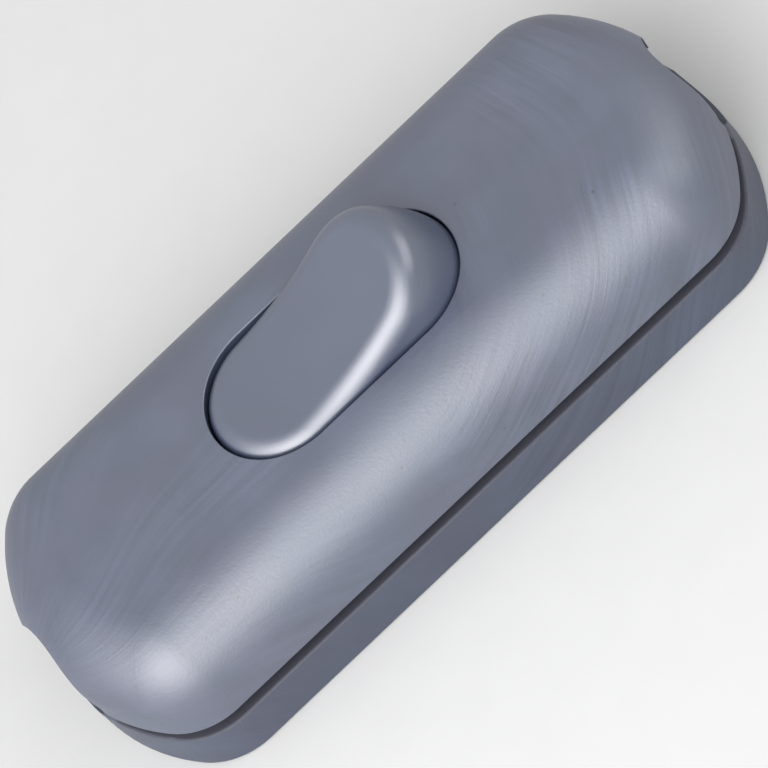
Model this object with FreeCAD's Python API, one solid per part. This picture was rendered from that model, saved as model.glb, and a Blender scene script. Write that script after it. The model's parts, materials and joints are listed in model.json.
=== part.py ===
import FreeCAD, Part
import math
import os

Vector = FreeCAD.Vector

# Housing, seen from outside
body_length = 71.4
body_width = 28.4
body_height = 15.4  # from the table to the flat top of the cover
edge_radius = 6.5  # large rounding all round the top of the cover
corner_extra = 0.5  # plan corner radius beyond the edge radius
end_bow_radius = 19.0  # the two ends bulge on this radius
base_height = 4.75  # outer wall of the base
shadow_gap = 1.2  # groove between the base and the cover
base_edge_radius = 0.3  # rounding under the base
rim_radius = 0.25  # softened edges beside the groove

# Housing walls and the lap joint hidden behind the groove
wall = 2.2
top_wall = 2.2
floor_wall = 2.0
lap_skirt = 1.1  # thin rim of the cover outside the lip of the base
lap_clearance = 0.1
lap_height = 2.6  # lip of the base above its outer wall

# Cord entries, half in the cover and half in a tongue of the base
cord_bore_radius = 3.4
mouth_radius = 4.95  # wider recess at the outer end of the bore
mouth_depth = 1.7
tongue_margin = 2.0  # tongue wall beside the bore
tongue_depth = 3.9
tongue_recess = 0.2  # tongue set back from the end face
tongue_clearance = 0.1

# Rocker and the opening that it turns in
opening_length = 25.5
opening_width = 13.4
rocker_gap = 0.2
opening_edge_radius = 0.12
pivot_depth = 3.0  # pivot below the flat top of the cover
rocker_throw = 30.0  # degrees from one stop to the other
rocker_rise = 1.55  # lowest line of the dished top above the cover, at mid throw
dish_radius = 30.0
rocker_edge_radius = 1.8
rocker_wall = 1.6
skirt_drop = 3.1  # rocker below its pivot
trunnion_radius = 1.3
trunnion_clearance = 0.06
ear_thickness = 2.2
ear_half_length = 2.8
ear_chin = 0.6  # ear below the trunnion
snap_narrowing = 0.25  # entry slot narrower than the trunnion, each side
trunnion_end_gap = 0.3

# Spring plunger in the rocker
plunger_radius = 1.48
plunger_clearance = 0.07
spring_boss_wall = 1.05
spring_boss_drop = 3.3  # boss below the pivot
plunger_guide = 1.8  # length of plunger inside the boss
plunger_neck = 0.5  # straight plunger below the boss
spigot_radius = 0.75
spigot_height = 1.4
nose_radius = 0.8
nose_reach = 5.3  # centre of the nose below the pivot
spring_wire_radius = 0.17
spring_turns = 5
spring_seat_gap = 0.02

# Rocking contact
strip_thickness = 0.7
seesaw_thickness = 0.6
seesaw_arm = 7.0
seesaw_half_width = 2.4
seesaw_fold = 2.3  # half length of the folded middle
seesaw_throw = 12.0  # degrees from one stop to the other
seesaw_vertex_drop = 0.15  # fold below the nose at mid throw
seesaw_vertex_rise = 0.45  # fold above the rocking axis
nose_gap = 0.08  # nose to wing at the stops
pin_radius = 0.8
pin_clearance = 0.06
pin_overhang = 0.2
bracket_clearance = 0.2  # blade to the ears of the bracket
bracket_half_length = 1.9
contact_x = 5.9
contact_radius = 1.1
contact_body = 0.35
contact_dome = 0.2
contact_shank_radius = 0.6
contact_head = 0.3
contact_gap = 0.05  # left between the closed contacts
pedestal_half_length = 1.7
pedestal_half_width = 1.7
stop_half_length = 0.8

# Terminals and the strips that they stand on
terminal_gap = 0.5  # rocker sweep to the terminals
terminal_length = 4.4
terminal_width = 4.0
terminal_height = 4.4
wire_bore_radius = 1.15
wire_bore_height = 1.7  # above the underside of the terminal
strip_width = 2.4
strip_gap = 0.6  # rocking pin to the strips beside it
terminal_screw_radius = 1.1
terminal_head_radius = 1.7
terminal_head_height = 1.3
barrier_half_width = 0.6
barrier_margin = 0.8  # barrier beyond the terminals
barrier_height = 4.8
pocket_rib = 0.7
pocket_clearance = 0.1
pocket_height = 2.6

# Cord clamps
clamp_inset = 8.6  # clamp axis from the end of the housing
clamp_headroom = 0.9  # clamp to the ceiling of the cover
clamp_half_width = 1.6
clamp_thickness = 1.4
clamp_bore_radius = 3.3
clamp_foot_drop = 1.0  # underside of the clamp feet below the cord axis
clamp_post_radius = 2.0
clamp_post_floor = 0.7  # solid post below the screw
clamp_screw_radius = 1.0
clamp_head_radius = 1.7
clamp_head_height = 1.3
clamp_head_gap = 0.1  # screw head to the arch of the clamp
cradle_half_width = 1.2
cradle_margin = 0.9
cradle_clearance = 0.1  # cord seat below the bore

# Housing screws, driven from below
screw_radius = 1.15
screw_clearance = 0.25  # shank through the base
screw_head_radius = 2.1
screw_head_height = 1.7
screw_recess_depth = 2.6
screw_recess_clearance = 0.2
screw_recess_wall = 0.8
cover_boss_wall = 1.2
boss_seat = 1.6  # base above the screw head
boss_wall_gap = 0.05
screw_grip = 6.4  # length of thread in the cover
thread_clearance = 0.02
pilot_extra = 0.6
slot_width = 0.6
slot_depth = 0.7
crown_share = 0.8  # flat top of a screw head, of its radius

# Points nearer than this to a face lie on it
edge_tolerance = 0.002

# Values that follow from the sizes above
half_length = body_length / 2
half_width = body_width / 2
corner_radius = edge_radius + corner_extra
bow_centre = half_length - end_bow_radius
cover_edge_z = base_height + shadow_gap
lip_top_z = base_height + lap_height
ceiling_z = body_height - top_wall
pivot_z = body_height - pivot_depth
rocker_tilt = rocker_throw / 2
rocker_half_width = opening_width / 2 - rocker_gap
rocker_reach = math.hypot(opening_length / 2 - rocker_gap, pivot_depth)
rocker_crown = pivot_depth + rocker_rise
spring_bore_radius = plunger_radius + plunger_clearance
plunger_shoulder = plunger_guide - spring_boss_drop
spring_bore_top = rocker_crown - rocker_wall
seesaw_tilt = seesaw_throw / 2
seesaw_z = pivot_z - nose_reach - nose_radius - seesaw_vertex_drop - seesaw_vertex_rise
bracket_inner = seesaw_half_width + bracket_clearance
bracket_outer = bracket_inner + strip_thickness
pin_half_length = bracket_outer + pin_overhang
strip_top_z = floor_wall + strip_thickness
strip_y = pin_half_length + strip_gap + strip_width / 2
terminal_inner = rocker_reach + terminal_gap
terminal_outer = terminal_inner + terminal_length
terminal_x = (terminal_inner + terminal_outer) / 2
terminal_top_z = strip_top_z + terminal_height
clamp_x = half_length - clamp_inset
clamp_arch_radius = clamp_bore_radius + clamp_thickness
cord_axis_z = ceiling_z - clamp_headroom - clamp_arch_radius
clamp_screw_y = clamp_arch_radius + clamp_head_radius + clamp_head_gap
clamp_foot_z = cord_axis_z - clamp_foot_drop
clamp_foot_top_z = clamp_foot_z + clamp_thickness
clamp_screw_grip = clamp_foot_z - floor_wall - clamp_post_floor
tongue_half = cord_bore_radius + tongue_margin
recess_radius = screw_head_radius + screw_recess_clearance
base_boss_radius = recess_radius + screw_recess_wall
cover_boss_radius = screw_radius + cover_boss_wall
boss_top_z = screw_recess_depth + boss_seat
boss_x = (terminal_outer + clamp_x - clamp_half_width) / 2
boss_y = half_width - wall - cover_boss_radius - boss_wall_gap


def box(x0, x1, y0, y1, z0, z1):
    return Part.makeBox(x1 - x0, y1 - y0, z1 - z0, Vector(x0, y0, z0))


def rod(radius, start, end):
    axis = end - start
    return Part.makeCylinder(radius, axis.Length, start, axis)


def join(shapes):
    return shapes[0].multiFuse(shapes[1:]).removeSplitter()


def turned(profile):
    # Solid of revolution about Z from (radius, height) points
    points = [Vector(radius, 0, height) for radius, height in profile]
    face = Part.Face(Part.makePolygon(points + points[:1]))
    return face.revolve(Vector(), Vector(0, 0, 1), 360)


def both_ends(shape):
    # The shape and its copy turned half a turn about Z
    copy = shape.copy()
    copy.rotate(Vector(), Vector(0, 0, 1), 180)
    return [shape, copy]


def edges_at_height(shape, z, reach=body_length):
    # Edges that lie level at z, within reach of the middle along X
    return [e for e in shape.Edges
            if all(abs(v.Z - z) < edge_tolerance and abs(v.X) < reach for v in e.Vertexes)]


def plan_face(inset, z):
    # Housing outline: straight sides, round corners and bowed ends, all offset inwards together
    corner = Vector(0, half_width - corner_radius, z)
    corner.x = bow_centre + math.sqrt((end_bow_radius - corner_radius) ** 2 - corner.y ** 2)
    out = Vector(corner.x - bow_centre, corner.y, 0).normalize()
    tangent = Vector(bow_centre, 0, z) + out * (end_bow_radius - inset)
    side = corner + Vector(0, corner_radius - inset, 0)
    middle = corner + (out + Vector(0, 1, 0)).normalize() * (corner_radius - inset)
    tip = Vector(half_length - inset, 0, z)

    def at(point, sx, sy):
        return Vector(point.x * sx, point.y * sy, z)

    edges = []
    for end in (1, -1):
        # Round one end from its own right-hand side to its left-hand side
        edges.append(Part.Arc(at(side, end, -end), at(middle, end, -end), at(tangent, end, -end)))
        edges.append(Part.Arc(at(tangent, end, -end), at(tip, end, 1), at(tangent, end, end)))
        edges.append(Part.Arc(at(tangent, end, end), at(middle, end, end), at(side, end, end)))
        edges.append(Part.LineSegment(at(side, end, end), at(side, -end, end)))
    return Part.Face(Part.Wire([edge.toShape() for edge in edges]))


def slab(inset, z0, z1):
    return plan_face(inset, z0).extrude(Vector(0, 0, z1 - z0))


def domed_slab(inset, z0, z1, radius):
    solid = slab(inset, z0, z1)
    return solid.makeFillet(radius, edges_at_height(solid, z1))


def barrel(offset):
    # Barrel turned about the pivot axis, so the rocker keeps the same gap at every angle
    half = rocker_half_width + offset
    reach = rocker_reach + offset
    flat = reach - half
    corners = [Vector(flat, half, 0), Vector(0, half, 0), Vector(0, -half, 0), Vector(flat, -half, 0)]
    round_end = Part.Arc(corners[3], Vector(reach, 0, 0), corners[0]).toShape()
    profile = Part.Wire([Part.makePolygon(corners), round_end])
    return Part.Face(profile).revolve(Vector(), Vector(0, 1, 0), 360)


def on_rocker(shape):
    # From the rocker's own frame, level about its pivot, to its resting place with the +X end up
    shape.rotate(Vector(), Vector(0, 1, 0), -rocker_tilt)
    shape.translate(Vector(0, 0, pivot_z))
    return shape


def on_seesaw(shape):
    # From the rocking contact's own frame to its resting place with the +X arm down
    shape.rotate(Vector(), Vector(0, 1, 0), seesaw_tilt)
    shape.translate(Vector(0, 0, seesaw_z))
    return shape


def cord_bore():
    # Bore through the +X end with a wider recess at its mouth
    inner = Vector(half_length - tongue_depth - wall, 0, cord_axis_z)
    mouth = Vector(half_length - mouth_depth, 0, cord_axis_z)
    outer = Vector(half_length + mouth_depth, 0, cord_axis_z)
    return rod(cord_bore_radius, inner, outer).fuse(rod(mouth_radius, mouth, outer))


def trunnion_ear():
    inner = opening_width / 2
    outer = inner + ear_thickness
    low = pivot_z - trunnion_radius - ear_chin
    return box(-ear_half_length, ear_half_length, inner, outer, low, ceiling_z + top_wall / 2)


def trunnion_seat():
    # Round seat in the ear with a narrower slot below it, for the trunnion to snap through
    inner = opening_width / 2
    outer = inner + ear_thickness
    seat = rod(trunnion_radius + trunnion_clearance, Vector(0, inner, pivot_z), Vector(0, outer, pivot_z))
    entry = trunnion_radius - snap_narrowing
    return seat.fuse(box(-entry, entry, inner, outer, 0, pivot_z))


def top_cover():
    outer = domed_slab(0, cover_edge_z, body_height, edge_radius)
    outer = outer.makeFillet(rim_radius, edges_at_height(outer, cover_edge_z))
    cavity = domed_slab(wall, 0, ceiling_z, edge_radius - wall)
    shell = outer.cut([cavity, slab(lap_skirt, 0, lip_top_z)])
    opening = barrel(rocker_gap)
    opening.translate(Vector(0, 0, pivot_z))
    shell = shell.cut(opening)
    rim = edges_at_height(shell, body_height, opening_length / 2 + wall)
    shell = shell.makeFillet(opening_edge_radius, rim)

    boss = rod(cover_boss_radius, Vector(boss_x, boss_y, boss_top_z),
               Vector(boss_x, boss_y, ceiling_z + top_wall / 2))
    pilot_top = boss_top_z + screw_grip + pilot_extra
    pilot = rod(screw_radius + thread_clearance, Vector(boss_x, boss_y, 0),
                Vector(boss_x, boss_y, pilot_top))
    collar = box(half_length - tongue_depth, half_length, -tongue_half, tongue_half, cord_axis_z,
                 body_height)
    added = [boss.common(outer), collar.common(outer), trunnion_ear()]
    shell = join([shell] + [copy for shape in added for copy in both_ends(shape)])

    slot_half = tongue_half + tongue_clearance
    slot = box(half_length - tongue_depth - tongue_clearance, body_length, -slot_half, slot_half, 0,
               cord_axis_z + tongue_clearance)
    cuts = [pilot, slot, cord_bore(), trunnion_seat()]
    return shell.cut([copy for shape in cuts for copy in both_ends(shape)])


def clamp_seat():
    # Two screw posts and the cord cradle between them, at the +X end
    cradle_half = clamp_bore_radius + cradle_margin
    cradle = box(clamp_x - cradle_half_width, clamp_x + cradle_half_width, -cradle_half, cradle_half,
                 floor_wall, cord_axis_z - clamp_bore_radius / 2)
    centre = Vector(0, 0, cord_axis_z - cradle_clearance)
    cord = rod(clamp_bore_radius, centre, centre + Vector(half_length, 0, 0))
    shapes = [cradle.cut(cord)]
    for side in (1, -1):
        foot = Vector(clamp_x, side * clamp_screw_y, floor_wall)
        top = Vector(clamp_x, side * clamp_screw_y, clamp_foot_z)
        pilot = rod(clamp_screw_radius + thread_clearance, top - Vector(0, 0, clamp_screw_grip), top)
        shapes.append(rod(clamp_post_radius, foot, top).cut(pilot))
    return shapes


def terminal_nest():
    # Barrier between the two terminals of the +X end and a rib outside each of them
    nest = [box(terminal_inner, terminal_outer + barrier_margin, -barrier_half_width, barrier_half_width,
                floor_wall, floor_wall + barrier_height)]
    for side in (1, -1):
        middle = side * (strip_y + (terminal_width + pocket_rib) / 2 + pocket_clearance)
        nest.append(box(terminal_inner, terminal_outer, middle - pocket_rib / 2, middle + pocket_rib / 2,
                        floor_wall, strip_top_z + pocket_height))
    return nest


def base():
    outer = slab(0, 0, base_height)
    outer = outer.makeFillet(base_edge_radius, edges_at_height(outer, 0))
    outer = outer.makeFillet(rim_radius, edges_at_height(outer, base_height))
    lip = slab(lap_skirt + lap_clearance, floor_wall, lip_top_z)
    cavity = slab(wall, floor_wall, body_height)
    tray = outer.fuse(lip).cut(cavity)

    tongue = slab(tongue_recess, floor_wall, cord_axis_z).common(
        box(half_length - tongue_depth, half_length, -tongue_half, tongue_half, 0, body_height))
    boss = rod(base_boss_radius, Vector(boss_x, boss_y, floor_wall), Vector(boss_x, boss_y, boss_top_z))
    inside = slab(wall / 2, 0, body_height)
    added = [tongue, boss.common(inside)] + clamp_seat() + terminal_nest()
    pedestal_top = fixed_strip_top() - strip_thickness
    pedestal = box(-contact_x - pedestal_half_length, -contact_x + pedestal_half_length,
                   -pedestal_half_width, pedestal_half_width, floor_wall, pedestal_top)
    stop = box(contact_x - stop_half_length, contact_x + stop_half_length, -pedestal_half_width,
               pedestal_half_width, floor_wall, arm_stop_z())
    tray = join([tray, pedestal, stop] + [copy for shape in added for copy in both_ends(shape)])

    recess = rod(recess_radius, Vector(boss_x, boss_y, 0), Vector(boss_x, boss_y, screw_recess_depth))
    hole = rod(screw_radius + screw_clearance, Vector(boss_x, boss_y, 0),
               Vector(boss_x, boss_y, boss_top_z))
    return tray.cut(both_ends(recess.fuse(hole)) + both_ends(cord_bore()))


def rocker():
    top = dish_radius + rocker_crown
    dish = rod(dish_radius, Vector(0, -opening_width, top), Vector(0, opening_width, top))
    room = box(-body_length, body_length, -body_width, body_width, -skirt_drop, rocker_reach)
    body = barrel(0).common(room).cut(dish)
    rim = [e for e in body.Edges
           if all(abs(math.hypot(p.x, p.z - top) - dish_radius) < edge_tolerance for p in e.discretize(5))]
    body = body.makeFillet(rocker_edge_radius, rim)

    boss_radius = spring_bore_radius + spring_boss_wall
    boss = rod(boss_radius, Vector(0, 0, -spring_boss_drop), Vector(0, 0, rocker_crown))
    under = rod(dish_radius + rocker_wall, Vector(0, -opening_width, top), Vector(0, opening_width, top))
    hollow = barrel(-rocker_wall).cut([under, boss])
    low_boss = rod(boss_radius, Vector(0, 0, -spring_boss_drop), Vector(0, 0, 0))
    bore = rod(spring_bore_radius, Vector(0, 0, -spring_boss_drop), Vector(0, 0, spring_bore_top))
    trunnion_end = opening_width / 2 + ear_thickness - trunnion_end_gap
    pins = [rod(trunnion_radius, Vector(0, side * (rocker_half_width - rocker_wall), 0),
                Vector(0, side * trunnion_end, 0)) for side in (1, -1)]
    return on_rocker(join([body.cut(hollow), low_boss] + pins).cut(bore))


def plunger():
    neck = -spring_boss_drop - plunger_neck
    stem = turned([(0, plunger_shoulder + spigot_height), (spigot_radius, plunger_shoulder + spigot_height),
                   (spigot_radius, plunger_shoulder), (plunger_radius, plunger_shoulder),
                   (plunger_radius, neck), (nose_radius, -nose_reach), (0, -nose_reach)])
    return on_rocker(join([stem, Part.makeSphere(nose_radius, Vector(0, 0, -nose_reach))]))


def plunger_spring():
    # Coil between the plunger's shoulder and the end of its bore
    low = plunger_shoulder + spring_wire_radius + spring_seat_gap
    height = spring_bore_top - spring_wire_radius - spring_seat_gap - low
    coil_radius = (spring_bore_radius + spigot_radius) / 2
    helix = Part.makeHelix(height / spring_turns, height, coil_radius)
    section = Part.Wire(Part.makeCircle(spring_wire_radius, Vector(coil_radius, 0, 0), Vector(0, 1, 0)))
    coil = Part.Wire(helix).makePipeShell([section], True, True)
    coil.translate(Vector(0, 0, low))
    return on_rocker(coil)


def wing_angle():
    # Slope of the contact's folded middle that leaves nose_gap under the nose at the stop
    tilt = math.radians(rocker_tilt)
    lean = math.radians(seesaw_tilt)
    nose = Vector(nose_reach * math.sin(tilt), 0, pivot_z - nose_reach * math.cos(tilt))
    vertex = Vector(seesaw_vertex_rise * math.sin(lean), 0, seesaw_z + seesaw_vertex_rise * math.cos(lean))
    away = nose - vertex
    return math.atan2(away.z, away.x) - math.asin((nose_radius + nose_gap) / away.Length) + lean


def arm_top():
    # Upper face of the contact's arms above the rocking axis
    return seesaw_vertex_rise + seesaw_fold * math.tan(wing_angle())


def contact_low_z():
    # Lowest point of the moving contact when the -X arm is down
    tilt = math.radians(seesaw_tilt)
    dome_radius = (contact_radius ** 2 + contact_dome ** 2) / (2 * contact_dome)
    centre = arm_top() - seesaw_thickness - contact_body - contact_dome + dome_radius
    return seesaw_z - contact_x * math.sin(tilt) + centre * math.cos(tilt) - dome_radius


def fixed_strip_top():
    return contact_low_z() - contact_gap - contact_body


def arm_stop_z():
    # Rest under the +X arm, clear of its lowest edge
    tilt = math.radians(seesaw_tilt)
    reach = contact_x + stop_half_length
    return seesaw_z - reach * math.sin(tilt) + (arm_top() - seesaw_thickness) * math.cos(tilt) - contact_gap


def bent_strip(upper, thickness, half_breadth):
    # Sheet strip folded along (x, z) points of its upper face, with mitred bends
    points = [Vector(x, 0, z) for x, z in upper]
    lower = []
    for k, point in enumerate(points):
        before = point - points[k - 1] if k else points[1] - point
        after = points[k + 1] - point if k + 1 < len(points) else before
        down = Vector(before.z, 0, -before.x).normalize()
        mitre = (down + Vector(after.z, 0, -after.x).normalize()).normalize()
        lower.append(point + mitre * (thickness / mitre.dot(down)))
    outline = points + lower[::-1]
    face = Part.Face(Part.makePolygon(outline + outline[:1]))
    face.translate(Vector(0, -half_breadth, 0))
    return face.extrude(Vector(0, 2 * half_breadth, 0))


def seesaw_contact():
    level = arm_top()
    fold = [(-seesaw_fold, level), (0, seesaw_vertex_rise), (seesaw_fold, level)]
    blade = bent_strip([(-seesaw_arm, level)] + fold + [(seesaw_arm, level)], seesaw_thickness,
                       seesaw_half_width)
    valley = Part.makePolygon([Vector(x, -seesaw_half_width, z) for x, z in fold + fold[:1]])
    valley = Part.Face(valley).extrude(Vector(0, 2 * seesaw_half_width, 0))
    pin = rod(pin_radius, Vector(0, -pin_half_length, 0), Vector(0, pin_half_length, 0)).cut(valley)
    rivet_hole = rod(contact_shank_radius, Vector(-contact_x, 0, 0), Vector(-contact_x, 0, level))
    return on_seesaw(join([blade, pin]).cut(rivet_hole))


def domed_button(radius):
    # Contact face down, its dome reaching contact_body + contact_dome below zero
    dome_radius = (radius ** 2 + contact_dome ** 2) / (2 * contact_dome)
    face_z = -contact_body - contact_dome
    ball = Part.makeSphere(dome_radius, Vector(0, 0, face_z + dome_radius))
    return rod(radius, Vector(0, 0, face_z), Vector(0, 0, 0)).common(ball)


def moving_contact_tip():
    shank = rod(contact_shank_radius, Vector(0, 0, 0), Vector(0, 0, seesaw_thickness))
    head = Part.makeCone(contact_radius, contact_shank_radius, contact_head, Vector(0, 0, seesaw_thickness))
    tip = join([domed_button(contact_radius), shank, head])
    tip.translate(Vector(-contact_x, 0, arm_top() - seesaw_thickness))
    return on_seesaw(tip)


def fixed_contact_tip():
    face = rod(contact_radius, Vector(), Vector(0, 0, contact_body))
    shank = rod(contact_shank_radius, Vector(0, 0, -strip_thickness), Vector())
    tip = join([face, shank])
    tip.translate(Vector(-contact_x, 0, fixed_strip_top()))
    return tip


def fixed_contact_strip():
    # Runs along the floor from its terminal, turns to the middle and steps up on to its pedestal
    top = fixed_strip_top()
    foot = -contact_x - pedestal_half_length - 2 * strip_thickness
    outer_y = -strip_y - strip_width / 2
    rise = bent_strip([(foot - strip_width, strip_top_z), (foot - strip_thickness / 2, strip_top_z),
                       (foot + strip_thickness / 2, top), (-contact_x + pedestal_half_length, top)],
                      strip_thickness, pedestal_half_width)
    across = box(foot - strip_width, foot - strip_thickness / 2, outer_y, pedestal_half_width,
                 floor_wall, strip_top_z)
    tail = box(-terminal_outer, foot - strip_thickness, outer_y, outer_y + strip_width,
               floor_wall, strip_top_z)
    hole = rod(contact_shank_radius, Vector(-contact_x, 0, 0), Vector(-contact_x, 0, top))
    return join([rise, across, tail]).cut(hole)


def saddle_bracket():
    # Two notched ears carry the pin of the rocking contact, and a tail runs to its terminal
    half = bracket_half_length
    saddle = box(-half, half, -bracket_outer, bracket_outer, floor_wall, seesaw_z)
    between = box(-half, half, -bracket_inner, bracket_inner, strip_top_z, seesaw_z)
    outer_y = -strip_y - strip_width / 2
    across = box(half - strip_width, half, outer_y, 0, floor_wall, strip_top_z)
    tail = box(half - strip_width, terminal_outer, outer_y, outer_y + strip_width, floor_wall, strip_top_z)
    notch = rod(pin_radius + pin_clearance, Vector(0, -half_width, seesaw_z),
                Vector(0, half_width, seesaw_z))
    return join([saddle.cut(between), across, tail]).cut(notch)


def neutral_link():
    return box(-terminal_outer, terminal_outer, strip_y - strip_width / 2, strip_y + strip_width / 2,
               floor_wall, strip_top_z)


def terminal(end, side):
    # Brass pillar with a wire bore along X and a screw hole from the top
    x0 = terminal_inner if end > 0 else -terminal_outer
    y = side * strip_y
    block = box(x0, x0 + terminal_length, y - terminal_width / 2, y + terminal_width / 2, strip_top_z,
                terminal_top_z)
    wire_z = strip_top_z + wire_bore_height
    wire = rod(wire_bore_radius, Vector(x0, y, wire_z), Vector(x0 + terminal_length, y, wire_z))
    thread = rod(terminal_screw_radius + thread_clearance, Vector(end * terminal_x, y, wire_z),
                 Vector(end * terminal_x, y, terminal_top_z))
    return block.cut([wire, thread])


def slotted_screw(head_radius, head_height, radius, length):
    # Head upwards on the level z = 0, shank below it
    crown = head_radius * crown_share
    screw = turned([(0, head_height), (crown, head_height), (head_radius, head_height / 2),
                    (head_radius, 0), (radius, 0), (radius, radius - length), (radius / 2, -length),
                    (0, -length)])
    slot = box(-head_radius, head_radius, -slot_width / 2, slot_width / 2,
               head_height - slot_depth, head_height)
    return screw.cut(slot)


def terminal_screws():
    screws = []
    length = terminal_height - wire_bore_height
    for end in (1, -1):
        for side in (1, -1):
            screw = slotted_screw(terminal_head_radius, terminal_head_height, terminal_screw_radius, length)
            screw.translate(Vector(end * terminal_x, side * strip_y, terminal_top_z))
            screws.append(screw)
    return Part.makeCompound(screws)


def cord_clamp(end):
    # Arched strap over the cord with a flat foot at each side
    x0 = end * clamp_x - clamp_half_width
    x1 = end * clamp_x + clamp_half_width
    foot_end = clamp_screw_y + clamp_post_radius
    feet = box(x0, x1, -foot_end, foot_end, clamp_foot_z, clamp_foot_top_z)
    start = Vector(x0, 0, cord_axis_z)
    stop = Vector(x1, 0, cord_axis_z)
    above = box(x0, x1, -foot_end, foot_end, clamp_foot_z, body_height)
    arch = rod(clamp_arch_radius, start, stop).common(above)
    cord = rod(clamp_bore_radius, start, stop)
    gap = box(x0, x1, -clamp_bore_radius, clamp_bore_radius, clamp_foot_z, cord_axis_z)
    holes = [rod(clamp_screw_radius + thread_clearance, Vector(end * clamp_x, side * clamp_screw_y, 0),
                 Vector(end * clamp_x, side * clamp_screw_y, body_height)) for side in (1, -1)]
    return join([feet, arch]).cut([cord, gap] + holes)


def cord_clamp_screws():
    screws = []
    length = clamp_thickness + clamp_screw_grip
    for end in (1, -1):
        for side in (1, -1):
            screw = slotted_screw(clamp_head_radius, clamp_head_height, clamp_screw_radius, length)
            screw.translate(Vector(end * clamp_x, side * clamp_screw_y, clamp_foot_top_z))
            screws.append(screw)
    return Part.makeCompound(screws)


def housing_screws():
    screw = slotted_screw(screw_head_radius, screw_head_height, screw_radius, boss_seat + screw_grip)
    screw.rotate(Vector(), Vector(1, 0, 0), 180)
    screw.translate(Vector(boss_x, boss_y, screw_recess_depth))
    return Part.makeCompound(both_ends(screw))


def main():
    nodes = {
        "base": base(),
        "top_cover": top_cover(),
        "rocker": rocker(),
        "plunger": plunger(),
        "plunger_spring": plunger_spring(),
        "seesaw_contact": seesaw_contact(),
        "moving_contact_tip": moving_contact_tip(),
        "fixed_contact_strip": fixed_contact_strip(),
        "fixed_contact_tip": fixed_contact_tip(),
        "saddle_bracket": saddle_bracket(),
        "neutral_link": neutral_link(),
        "live_in_terminal": terminal(-1, -1),
        "live_out_terminal": terminal(1, -1),
        "neutral_in_terminal": terminal(-1, 1),
        "neutral_out_terminal": terminal(1, 1),
        "terminal_screws": terminal_screws(),
        "left_cord_clamp": cord_clamp(-1),
        "right_cord_clamp": cord_clamp(1),
        "cord_clamp_screws": cord_clamp_screws(),
        "housing_screws": housing_screws(),
    }
    os.makedirs("parts", exist_ok=True)
    for name, shape in nodes.items():
        shape.exportStep("parts/" + name + ".step")
        print(name, len(shape.Solids), shape.isValid(), round(shape.Volume, 2))


main()
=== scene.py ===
import json
import math
import bmesh
import bpy
from mathutils import Matrix, Vector


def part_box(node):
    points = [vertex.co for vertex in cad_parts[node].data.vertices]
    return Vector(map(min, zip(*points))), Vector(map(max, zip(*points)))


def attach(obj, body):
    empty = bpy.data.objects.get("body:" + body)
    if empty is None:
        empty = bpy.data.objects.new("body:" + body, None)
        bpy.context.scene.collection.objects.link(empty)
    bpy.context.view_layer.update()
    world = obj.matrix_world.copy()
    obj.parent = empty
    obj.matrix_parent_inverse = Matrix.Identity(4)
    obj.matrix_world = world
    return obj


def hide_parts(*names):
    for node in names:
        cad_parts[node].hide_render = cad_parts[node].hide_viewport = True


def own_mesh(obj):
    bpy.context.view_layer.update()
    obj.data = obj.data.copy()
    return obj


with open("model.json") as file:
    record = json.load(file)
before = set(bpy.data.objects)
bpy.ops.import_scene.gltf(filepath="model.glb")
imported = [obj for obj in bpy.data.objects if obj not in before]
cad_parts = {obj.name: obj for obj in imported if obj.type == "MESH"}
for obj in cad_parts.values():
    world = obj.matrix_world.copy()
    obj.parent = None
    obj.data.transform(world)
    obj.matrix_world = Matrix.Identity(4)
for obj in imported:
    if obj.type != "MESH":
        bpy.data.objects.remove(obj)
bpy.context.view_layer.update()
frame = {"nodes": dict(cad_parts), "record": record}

scene = bpy.context.scene
objects = {name: bpy.data.objects[name] for name in frame["nodes"]}
print("frame loaded:", len(objects), "nodes")


# ways to lay out a finish: every pattern runs on millimetres of the piece's own coordinates

def startFinish(name):
    mat = bpy.data.materials.new(name)
    mat.use_nodes = True
    return mat, mat.node_tree, mat.node_tree.nodes["Principled BSDF"]


def addNode(tree, kind, **settings):
    node = tree.nodes.new("ShaderNode" + kind)
    for key, value in settings.items():
        setattr(node, key, value)
    return node


def millimetres(tree, stretch=(1, 1, 1)):
    place = addNode(tree, "TexCoord")
    mapping = addNode(tree, "Mapping")
    mapping.inputs["Scale"].default_value = [1000 * s for s in stretch]
    tree.links.new(place.outputs["Object"], mapping.inputs["Vector"])
    return mapping.outputs["Vector"]


def noise(tree, where, size, detail=2.0, rough=0.5, bend=0.0):
    node = addNode(tree, "TexNoise")
    node.inputs["Scale"].default_value = 1 / size  # size of one lump in mm
    node.inputs["Detail"].default_value = detail
    node.inputs["Roughness"].default_value = rough
    node.inputs["Distortion"].default_value = bend
    tree.links.new(where, node.inputs["Vector"])
    return node


def span(tree, value, seen, given=(0.0, 1.0)):
    # eases a value from the limits it is seen between to the limits it is given
    node = addNode(tree, "MapRange", interpolation_type="SMOOTHSTEP")
    for socket, number in zip(("From Min", "From Max", "To Min", "To Max"), (*seen, *given)):
        node.inputs[socket].default_value = number
    tree.links.new(value, node.inputs["Value"])
    return node.outputs["Result"]


def calc(tree, operation, a, b=0.0):
    node = addNode(tree, "Math", operation=operation)
    for socket, value in zip(node.inputs, (a, b)):
        if isinstance(value, (int, float)):
            socket.default_value = value
        else:
            tree.links.new(value, socket)
    return node.outputs["Value"]


def gather(tree, *parts):
    node = addNode(tree, "CombineXYZ")
    for socket, part in zip(node.inputs, parts):
        tree.links.new(part, socket)
    return node.outputs["Vector"]


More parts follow.
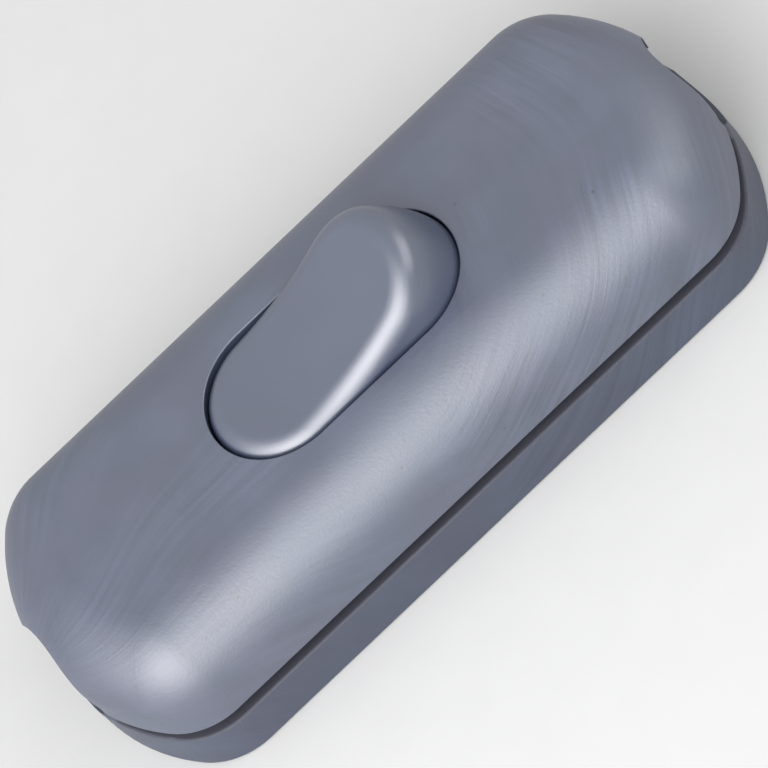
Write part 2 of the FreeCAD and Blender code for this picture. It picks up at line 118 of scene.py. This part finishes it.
def tint(tree, amount, fromColour, toColour):
    node = addNode(tree, "Mix", data_type="RGBA")  # its colour sockets are 6 and 7 in, 2 out
    for socket, value in ((node.inputs[6], fromColour), (node.inputs[7], toColour)):
        if isinstance(value, (tuple, list)):
            socket.default_value = (*value, 1)
        else:
            tree.links.new(value, socket)
    tree.links.new(amount, node.inputs[0])
    return node.outputs[2]


def dent(tree, shader, height, depth):
    node = addNode(tree, "Bump")
    node.inputs["Distance"].default_value = depth / 1000  # depth in mm
    tree.links.new(height, node.inputs["Height"])
    tree.links.new(node.outputs["Normal"], shader.inputs["Normal"])


# moulded plastic with a fine metal pigment, drawn out in streaks where the melt ran; lengths in mm

silverMoulding = {
    "pale": (0.051, 0.060, 0.107),
    "cool": (0.047, 0.064, 0.111),  # the pale tone where the pigment lies flatter
    "dark": (0.017, 0.025, 0.052),
    "roughness": (0.44, 0.51),
    "mirror": 2.19,                 # refractive index, raised by the metal in the pigment
    "tone": 8.0,                    # patches of pale and cool
    "toneSeen": (0.38, 0.62),
    "cloud": 7.0,                   # slow change of colour and shine
    "cloudSeen": (0.3, 0.7),
    "cloudTint": (0.38, 0.62),
    "wander": 26.0,                 # how the streaks leave their line, and by how much
    "wanderPull": 9.0,
    "crownHalf": 4.0,               # from the middle line to where the skin counts as one side's
    "gateSwirl": (2.5, 3.5),        # along and across: the streaks of the right half curl round here
    "leftFan": (-44.0, -3.0),       # the streaks of the left half fan out from here
    "fanReach": 24.0,
    "fanShare": 0.6,                # the left half's streaks are fainter
    "halves": (-3.0, 6.0),          # along the body, where the left half goes over into the right
    "streakLength": 14.0,
    "streakWidth": 0.42,
    "streakLump": 1.6,              # in widths
    "streakRough": 0.72,
    "streakTint": 2.6,
    "streakDepth": 0.040,
    "patch": 13.0,                  # where the streaks show and where they fade
    "patchSeen": (0.40, 0.62),
    "patchShare": (0.15, 1.0),
    "grain": 0.24,
    "grainDepth": 0.018,
    "speck": (0.012, 0.013, 0.018),
    "speckSpread": 9.0,
    "speckRadius": 0.15,
    "speckBlur": (0.6, 1.3),        # in radii
    "speckShare": 0.3,
    # colour of the painted shade in the groove, and the roughness added there
    "paintedShade": (0.011, 0.012, 0.026),
    "shadeRough": 0.3,
    "groove": None,                 # heights of the groove, and how far out its faces lie, where shade is painted
}


def unrolledSkin(tree, look):
    # along the body and round it, from the top's middle line down either side
    where = millimetres(tree)
    wander = noise(tree, where, look["wander"], detail=1.0)
    pull = addNode(tree, "VectorMath", operation="MULTIPLY_ADD")
    tree.links.new(wander.outputs["Color"], pull.inputs[0])
    pull.inputs[1].default_value = [look["wanderPull"]] * 3
    tree.links.new(where, pull.inputs[2])
    path = addNode(tree, "SeparateXYZ")
    tree.links.new(pull.outputs["Vector"], path.inputs["Vector"])
    straight = addNode(tree, "SeparateXYZ")
    tree.links.new(where, straight.inputs["Vector"])
    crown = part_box("top_cover")[1][2] * 1000
    side = calc(tree, "DIVIDE", straight.outputs["Y"], look["crownHalf"])
    side = calc(tree, "MINIMUM", calc(tree, "MAXIMUM", side, -1), 1)
    drop = calc(tree, "MULTIPLY", side, calc(tree, "SUBTRACT", crown, straight.outputs["Z"]))
    return path.outputs["X"], calc(tree, "ADD", path.outputs["Y"], drop), straight


def meltStreaks(tree, along, across, straight, look):
    thin = look["streakLength"] / look["streakWidth"]
    slow = calc(tree, "DIVIDE", along, thin), calc(tree, "DIVIDE", across, thin)
    swirl = addNode(tree, "VectorMath", operation="DISTANCE")
    tree.links.new(gather(tree, along, across), swirl.inputs[0])
    swirl.inputs[1].default_value = (*look["gateSwirl"], 0)
    fan = calc(tree, "ARCTAN2", calc(tree, "SUBTRACT", across, look["leftFan"][1]),
               calc(tree, "SUBTRACT", along, look["leftFan"][0]))
    lump = look["streakWidth"] * look["streakLump"]
    layers = []
    for ring in (swirl.outputs["Value"], calc(tree, "MULTIPLY", fan, look["fanReach"])):
        lines = noise(tree, gather(tree, ring, *slow), lump, detail=4.0, rough=look["streakRough"])
        layers.append(calc(tree, "SUBTRACT", lines.outputs["Fac"], 0.5))
    toRight = span(tree, straight.outputs["X"], look["halves"])
    toLeft = calc(tree, "MULTIPLY", calc(tree, "SUBTRACT", 1.0, toRight), look["fanShare"])
    return calc(tree, "ADD", calc(tree, "MULTIPLY", layers[0], toRight),
                calc(tree, "MULTIPLY", layers[1], toLeft))


def grooveShade(tree, straight, groove):
    # painted shade in the groove between the halves: darker colour, and a rougher skin that takes shine
    # away

    def outFrom(axis, start):
        return span(tree, calc(tree, "ABSOLUTE", straight.outputs[axis]), (start, start + groove["fade"]))

    low, high = groove["low"], groove["high"]
    level = calc(tree, "MULTIPLY", span(tree, straight.outputs["Z"], (low, low + groove["fade"])),
                 span(tree, straight.outputs["Z"], (high, high + groove["fadeTop"]), (1.0, 0.0)))
    ends = calc(tree, "MULTIPLY", outFrom("X", groove["end"]), outFrom("Y", groove["tongue"]))
    return calc(tree, "MULTIPLY", level, calc(tree, "MAXIMUM", outFrom("Y", groove["side"]), ends))


def silverPlastic(name, look):
    mat, tree, shader = startFinish(name)
    link = tree.links.new
    where = millimetres(tree)
    along, across, straight = unrolledSkin(tree, look)
    streaks = meltStreaks(tree, along, across, straight, look)
    patch = noise(tree, where, look["patch"], detail=1.0).outputs["Fac"]
    streaks = calc(tree, "MULTIPLY", streaks, span(tree, patch, look["patchSeen"], look["patchShare"]))
    cloud = noise(tree, where, look["cloud"], detail=3.0).outputs["Fac"]
    mixture = calc(tree, "ADD", calc(tree, "MULTIPLY", streaks, look["streakTint"]),
                   span(tree, cloud, look["cloudSeen"], look["cloudTint"]))
    tone = noise(tree, where, look["tone"]).outputs["Fac"]
    pale = tint(tree, span(tree, tone, look["toneSeen"]), look["pale"], look["cool"])
    colour = tint(tree, mixture, look["dark"], pale)

    # a few dark specks pressed into the skin
    cells = addNode(tree, "TexVoronoi", voronoi_dimensions="2D")
    cells.inputs["Scale"].default_value = 1 / look["speckSpread"]
    link(gather(tree, along, across), cells.inputs["Vector"])
    chosen = addNode(tree, "SeparateColor")
    link(cells.outputs["Color"], chosen.inputs["Color"])
    edge = look["speckRadius"] / look["speckSpread"]
    spot = span(tree, cells.outputs["Distance"], [edge * blur for blur in look["speckBlur"]], (1.0, 0.0))
    few = calc(tree, "LESS_THAN", chosen.outputs["Red"], look["speckShare"])
    colour = tint(tree, calc(tree, "MULTIPLY", spot, few), colour, look["speck"])

    satin = span(tree, cloud, look["cloudSeen"], look["roughness"])
    # painted shade: the groove's colour is darkened and its roughness raised
    if look["groove"]:
        paintedShade = grooveShade(tree, straight, look["groove"])
        colour = tint(tree, paintedShade, colour, look["paintedShade"])
        satin = calc(tree, "ADD", satin, calc(tree, "MULTIPLY", paintedShade, look["shadeRough"]))
    link(colour, shader.inputs["Base Color"])
    link(satin, shader.inputs["Roughness"])

    grain = noise(tree, where, look["grain"]).outputs["Fac"]
    relief = calc(tree, "ADD", calc(tree, "MULTIPLY", grain, look["grainDepth"]),
                  calc(tree, "MULTIPLY", streaks, look["streakDepth"]))
    dent(tree, shader, relief, 1.0)  # the relief is in mm already
    shader.inputs["IOR"].default_value = look["mirror"]
    return mat


# the base is the housing's plastic with its colours painted darker: painted shade for its low sides, with
# painted shade in the groove as well
shadedBaseMoulding = dict(silverMoulding, pale=(0.038, 0.044, 0.079), cool=(0.034, 0.047, 0.081),
                    dark=(0.013, 0.019, 0.040), mirror=1.80,
                    groove={"low": 4.45, "high": 6.0, "side": 11.8, "end": 30.0, "tongue": 5.4,
                            "fade": 0.3, "fadeTop": 0.2})
rockerMoulding = dict(silverMoulding, pale=(0.040, 0.050, 0.091), cool=(0.038, 0.051, 0.091),
                      dark=(0.031, 0.040, 0.074), roughness=(0.345, 0.39), mirror=2.26,
                      streakDepth=0.003, grainDepth=0.0015, speckShare=0.0)


# mouldings that stay inside: cord clamps and the slippery plunger

innerMoulding = {"cloud": 3.0, "cloudBend": 0.4, "cloudSeen": (0.3, 0.7), "grain": 0.12,
                 "grainDepth": 0.004, "glow": 0.0, "glowReach": (0.001, 0.0008, 0.0006)}
clampMoulding = dict(innerMoulding, pale=(0.46, 0.46, 0.45), dark=(0.36, 0.36, 0.35),
                     roughness=(0.42, 0.58))
nylonMoulding = dict(innerMoulding, pale=(0.72, 0.70, 0.62), dark=(0.60, 0.57, 0.49),
                     roughness=(0.34, 0.46), glow=0.15)


def plainPlastic(name, look):
    mat, tree, shader = startFinish(name)
    link = tree.links.new
    where = millimetres(tree)
    cloud = noise(tree, where, look["cloud"], detail=4.0, bend=look["cloudBend"]).outputs["Fac"]
    grain = noise(tree, where, look["grain"]).outputs["Fac"]
    link(tint(tree, cloud, look["dark"], look["pale"]), shader.inputs["Base Color"])
    link(span(tree, cloud, look["cloudSeen"], look["roughness"]), shader.inputs["Roughness"])
    dent(tree, shader, grain, look["grainDepth"])
    shader.inputs["Subsurface Weight"].default_value = look["glow"]
    shader.inputs["Subsurface Radius"].default_value = look["glowReach"]
    return mat


# strip and bar metals: rolling lines along the length, tarnish in slow clouds

metalSkin = {"tarnish": 1.8, "tarnishBend": 0.6, "dullSeen": (0.35, 0.68), "shineSeen": (0.3, 0.7),
             "lines": 0.06, "lineDepth": 0.003}
metals = {
    "brass": {"bright": (0.80, 0.58, 0.24), "dull": (0.55, 0.37, 0.14), "roughness": (0.20, 0.40),
              "draw": (0.06, 1, 1)},
    "contact_bronze": {"bright": (0.78, 0.47, 0.27), "dull": (0.52, 0.28, 0.15), "roughness": (0.22, 0.42),
                       "draw": (0.05, 1, 1)},
    "contact_silver": {"bright": (0.90, 0.89, 0.86), "dull": (0.66, 0.65, 0.62), "roughness": (0.16, 0.34),
                       "draw": (1, 1, 1)},
    "screw_steel": {"bright": (0.70, 0.70, 0.68), "dull": (0.48, 0.48, 0.47), "roughness": (0.24, 0.42),
                    "draw": (1, 1, 0.08)},
    "spring_steel": {"bright": (0.62, 0.62, 0.62), "dull": (0.40, 0.40, 0.41), "roughness": (0.22, 0.36),
                     "draw": (1, 1, 1)},
}


def workedMetal(name, look, skin):
    mat, tree, shader = startFinish(name)
    link = tree.links.new
    where = millimetres(tree)
    tarnish = noise(tree, where, skin["tarnish"], detail=5.0, bend=skin["tarnishBend"]).outputs["Fac"]
    lines = noise(tree, millimetres(tree, stretch=look["draw"]), skin["lines"], detail=3.0).outputs["Fac"]
    dulled = span(tree, tarnish, skin["dullSeen"])
    link(tint(tree, dulled, look["bright"], look["dull"]), shader.inputs["Base Color"])
    link(span(tree, tarnish, skin["shineSeen"], look["roughness"]), shader.inputs["Roughness"])
    dent(tree, shader, lines, skin["lineDepth"])
    shader.inputs["Metallic"].default_value = 1.0
    return mat


finishes = {slot: workedMetal(slot, look, metalSkin) for slot, look in metals.items()}
finishes["housing_plastic"] = silverPlastic("housing_plastic", silverMoulding)
finishes["base_plastic"] = silverPlastic("base_plastic", shadedBaseMoulding)
finishes["rocker_plastic"] = silverPlastic("rocker_plastic", rockerMoulding)
finishes["clamp_plastic"] = plainPlastic("clamp_plastic", clampMoulding)
finishes["nylon"] = plainPlastic("nylon", nylonMoulding)
print("finishes made:", len(finishes))

pieceFinish = {
    "base": "base_plastic",
    "top_cover": "housing_plastic",
    "rocker": "rocker_plastic",
    "plunger": "nylon",
    "plunger_spring": "spring_steel",
    "seesaw_contact": "contact_bronze",
    "moving_contact_tip": "contact_silver",
    "fixed_contact_strip": "brass",
    "fixed_contact_tip": "contact_silver",
    "saddle_bracket": "brass",
    "neutral_link": "brass",
    "live_in_terminal": "brass",
    "live_out_terminal": "brass",
    "neutral_in_terminal": "brass",
    "neutral_out_terminal": "brass",
    "terminal_screws": "screw_steel",
    "left_cord_clamp": "clamp_plastic",
    "right_cord_clamp": "clamp_plastic",
    "cord_clamp_screws": "screw_steel",
    "housing_screws": "screw_steel",
}
for piece, finish in pieceFinish.items():
    mesh = objects[piece].data
    if not mesh.materials:
        mesh.materials.append(None)
    for slot in objects[piece].material_slots:
        slot.material = finishes[finish]
print("finishes given to:", len(pieceFinish), "pieces")


# the spring behind the plunger, wound with closed end coils so that it stands square

springCoil = {
    "wire": 0.00017,        # radius of the wire, m
    "coil": 0.00115,        # radius to the middle of the wire
    "low": -0.00131,        # first and last coil along the plunger's line, from the rocker's pivot
    "high": 0.00276,
    "closedTurns": 0.75,    # at each end
    "closedPitch": 2.06,    # rise of a closed turn, in wire radii
    "openTurns": 3.5,
    "ringSteps": 28,        # rings in one turn
    "sides": 12,
}


def windSpring(look, pivot, line):
    closedRise = look["closedTurns"] * look["wire"] * look["closedPitch"]
    openRise = look["high"] - look["low"] - 2 * closedRise
    bm = bmesh.new()
    section = Matrix.Translation((look["coil"], 0, look["low"])) @ Matrix.Rotation(math.pi / 2, 4, "X")
    bmesh.ops.create_circle(bm, segments=look["sides"], radius=look["wire"], matrix=section)
    ring = list(bm.verts) + list(bm.edges)
    for turns, rise in ((look["closedTurns"], closedRise), (look["openTurns"], openRise),
                        (look["closedTurns"], closedRise)):
        steps = round(turns * look["ringSteps"])
        wound = bmesh.ops.spin(bm, geom=ring, cent=(0, 0, 0), axis=(0, 0, 1), angle=turns * 2 * math.pi,
                               dvec=(0, 0, rise / steps), steps=steps)
        ring = wound["geom_last"]
    bmesh.ops.holes_fill(bm, edges=[e for e in bm.edges if e.is_boundary], sides=look["sides"])
    bmesh.ops.recalc_face_normals(bm, faces=bm.faces)
    turn = line.to_track_quat("Z", "Y").to_matrix().to_4x4()
    bmesh.ops.transform(bm, matrix=Matrix.Translation(pivot) @ turn, verts=bm.verts)
    mesh = bpy.data.meshes.new("plunger_coil")
    bm.to_mesh(mesh)
    bm.free()
    mesh.shade_smooth()
    mesh.materials.append(finishes["spring_steel"])
    coil = bpy.data.objects.new("plunger_coil", mesh)
    scene.collection.objects.link(coil)
    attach(coil, "rocker")
    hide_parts("plunger_spring")
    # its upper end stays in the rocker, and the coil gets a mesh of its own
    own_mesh(coil)


joints = {joint["name"]: joint for joint in frame["record"]["behaviour"]["joints"]}
slide = joints["plunger_slide"]
windSpring(springCoil, Vector(joints["rocker_pivot"]["pos_m"]), Vector(slide["axis"]))
print("spring wound")


# the floor it lies on

floorLook = {
    "half": 1.5,        # m
    "sunk": 0.00002,    # keeps it off the underside of the base
    "pale": (0.47, 0.47, 0.47),
    "shade": (0.45, 0.45, 0.45),
    "fibre": 4.0,       # mm
    "roughness": 0.7,
}


def layFloor(look):
    sheet = bmesh.new()
    bmesh.ops.create_grid(sheet, x_segments=1, y_segments=1, size=look["half"])
    bmesh.ops.translate(sheet, verts=sheet.verts, vec=(0, 0, -look["sunk"]))
    mesh = bpy.data.meshes.new("floor")
    sheet.to_mesh(mesh)
    sheet.free()
    floor = bpy.data.objects.new("floor", mesh)
    scene.collection.objects.link(floor)
    mat, tree, shader = startFinish("floor_paper")
    fibre = noise(tree, millimetres(tree), look["fibre"], detail=4.0).outputs["Fac"]
    tree.links.new(tint(tree, fibre, look["shade"], look["pale"]), shader.inputs["Base Color"])
    shader.inputs["Roughness"].default_value = look["roughness"]
    mesh.materials.append(mat)


layFloor(floorLook)
print("floor laid")


# light: a white room, three soft boxes to the left of the camera and a weak one on the right

roomLight = {"colour": (1.0, 1.0, 1.0), "strength": 0.80}
softBoxes = {
    "soft_box": {"azimuth": -42, "height": 45, "away": 0.36, "width": 0.30, "depth": 0.34, "power": 0.75},
    "broad_box": {"azimuth": -42, "height": 43, "away": 0.40, "width": 0.84, "depth": 0.66, "power": 1.5},
    "low_box": {"azimuth": -42, "height": 27, "away": 0.40, "width": 0.84, "depth": 0.40, "power": 1.8},
    "right_box": {"azimuth": 78, "height": 38, "away": 0.50, "width": 0.40, "depth": 0.40, "power": 0.8},
}


def lightRoom(look):
    world = bpy.data.worlds.new("white_room")
    world.use_nodes = True
    sky = world.node_tree.nodes["Background"]
    sky.inputs["Color"].default_value = (*look["colour"], 1)
    sky.inputs["Strength"].default_value = look["strength"]
    scene.world = world


def hangSoftBox(name, look):
    lamp = bpy.data.lights.new(name, "AREA")
    lamp.shape = "RECTANGLE"
    lamp.size = look["width"]
    lamp.size_y = look["depth"]
    lamp.energy = look["power"]
    box = bpy.data.objects.new(name, lamp)
    scene.collection.objects.link(box)
    az, el = math.radians(look["azimuth"]), math.radians(look["height"])
    towards = Vector((math.sin(az) * math.cos(el), -math.cos(az) * math.cos(el), math.sin(el)))
    facing = towards.to_track_quat("Z", "Y").to_matrix().to_4x4()
    box.matrix_world = Matrix.Translation(towards * look["away"]) @ facing


lightRoom(roomLight)
for name, look in softBoxes.items():
    hangSoftBox(name, look)
print("lights hung")


# camera: seen from above the near long side, and rolled so that the body lies corner to corner

cameraView = {
    "azimuth": 1.99,
    "height": 52.0,
    "roll": 45.06,
    "away": 0.596,
    "aim": (0.000140, 0.003523),    # m along the picture's level and upright, before the roll
    "focal": 7185,                  # in pixels of the picture's side
    "side": 768,
    "sensor": 36,
    "nearest": 0.01,
}


def setCamera(look):
    az, el, roll = (math.radians(look[key]) for key in ("azimuth", "height", "roll"))
    level = Vector((math.cos(az), math.sin(az), 0))
    back = Vector((math.sin(az) * math.cos(el), -math.cos(az) * math.cos(el), math.sin(el)))
    upright = back.cross(level)
    across = math.cos(roll) * level - math.sin(roll) * upright
    up = math.sin(roll) * level + math.cos(roll) * upright
    data = bpy.data.cameras.new("camera")
    data.sensor_width = look["sensor"]
    data.lens = look["focal"] / look["side"] * look["sensor"]
    data.clip_start = look["nearest"]
    camera = bpy.data.objects.new("camera", data)
    scene.collection.objects.link(camera)
    place = look["aim"][0] * level + look["aim"][1] * upright + look["away"] * back
    turn = Matrix((across, up, back)).transposed().to_4x4()
    camera.matrix_world = Matrix.Translation(place) @ turn
    scene.camera = camera


setCamera(cameraView)
scene.view_settings.view_transform = "Standard"
print("camera set")
